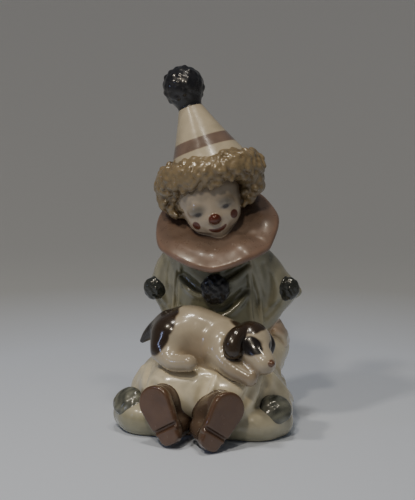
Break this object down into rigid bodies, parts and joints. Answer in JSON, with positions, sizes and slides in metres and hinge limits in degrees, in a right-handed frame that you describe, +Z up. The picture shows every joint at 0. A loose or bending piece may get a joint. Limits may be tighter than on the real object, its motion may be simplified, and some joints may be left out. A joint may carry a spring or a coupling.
{
  "type": "clown figurine",
  "caption": "Glazed porcelain figurine of a seated clown in a tall hat with a puppy asleep across the lap, standing on its flat foot.",
  "frame": {"origin": "middle of the bounding box's underside, on the surface the figurine stands on", "axes": "+Z up along the figure's height, -Y the way the clown and its shoe soles face, +X to the clown's left"},
  "size_m": [0.0756, 0.0852, 0.1489],
  "materials": {
    "porcelain": "clear gloss glaze over painted pastel porcelain",
    "hat_glaze": "cream gloss glaze with a mauve band",
    "tuft_glaze": "dark blue-grey gloss glaze over tufted modelling",
    "hair_glaze": "straw-coloured gloss glaze, darker in the curls",
    "face_glaze": "white gloss glaze with painted eyes, nose and smile",
    "ruff_glaze": "dusty pink gloss glaze",
    "tunic_glaze": "pale celadon gloss glaze",
    "skin_glaze": "peach-tinted gloss glaze",
    "trouser_glaze": "cream gloss glaze",
    "shoe_glaze": "brown-mauve gloss glaze",
    "puppy_glaze": "white gloss glaze with dark brown patches"
  },
  "bodies": {
    "root": {"clown_figurine": "porcelain"}
  },
  "joints": []
}
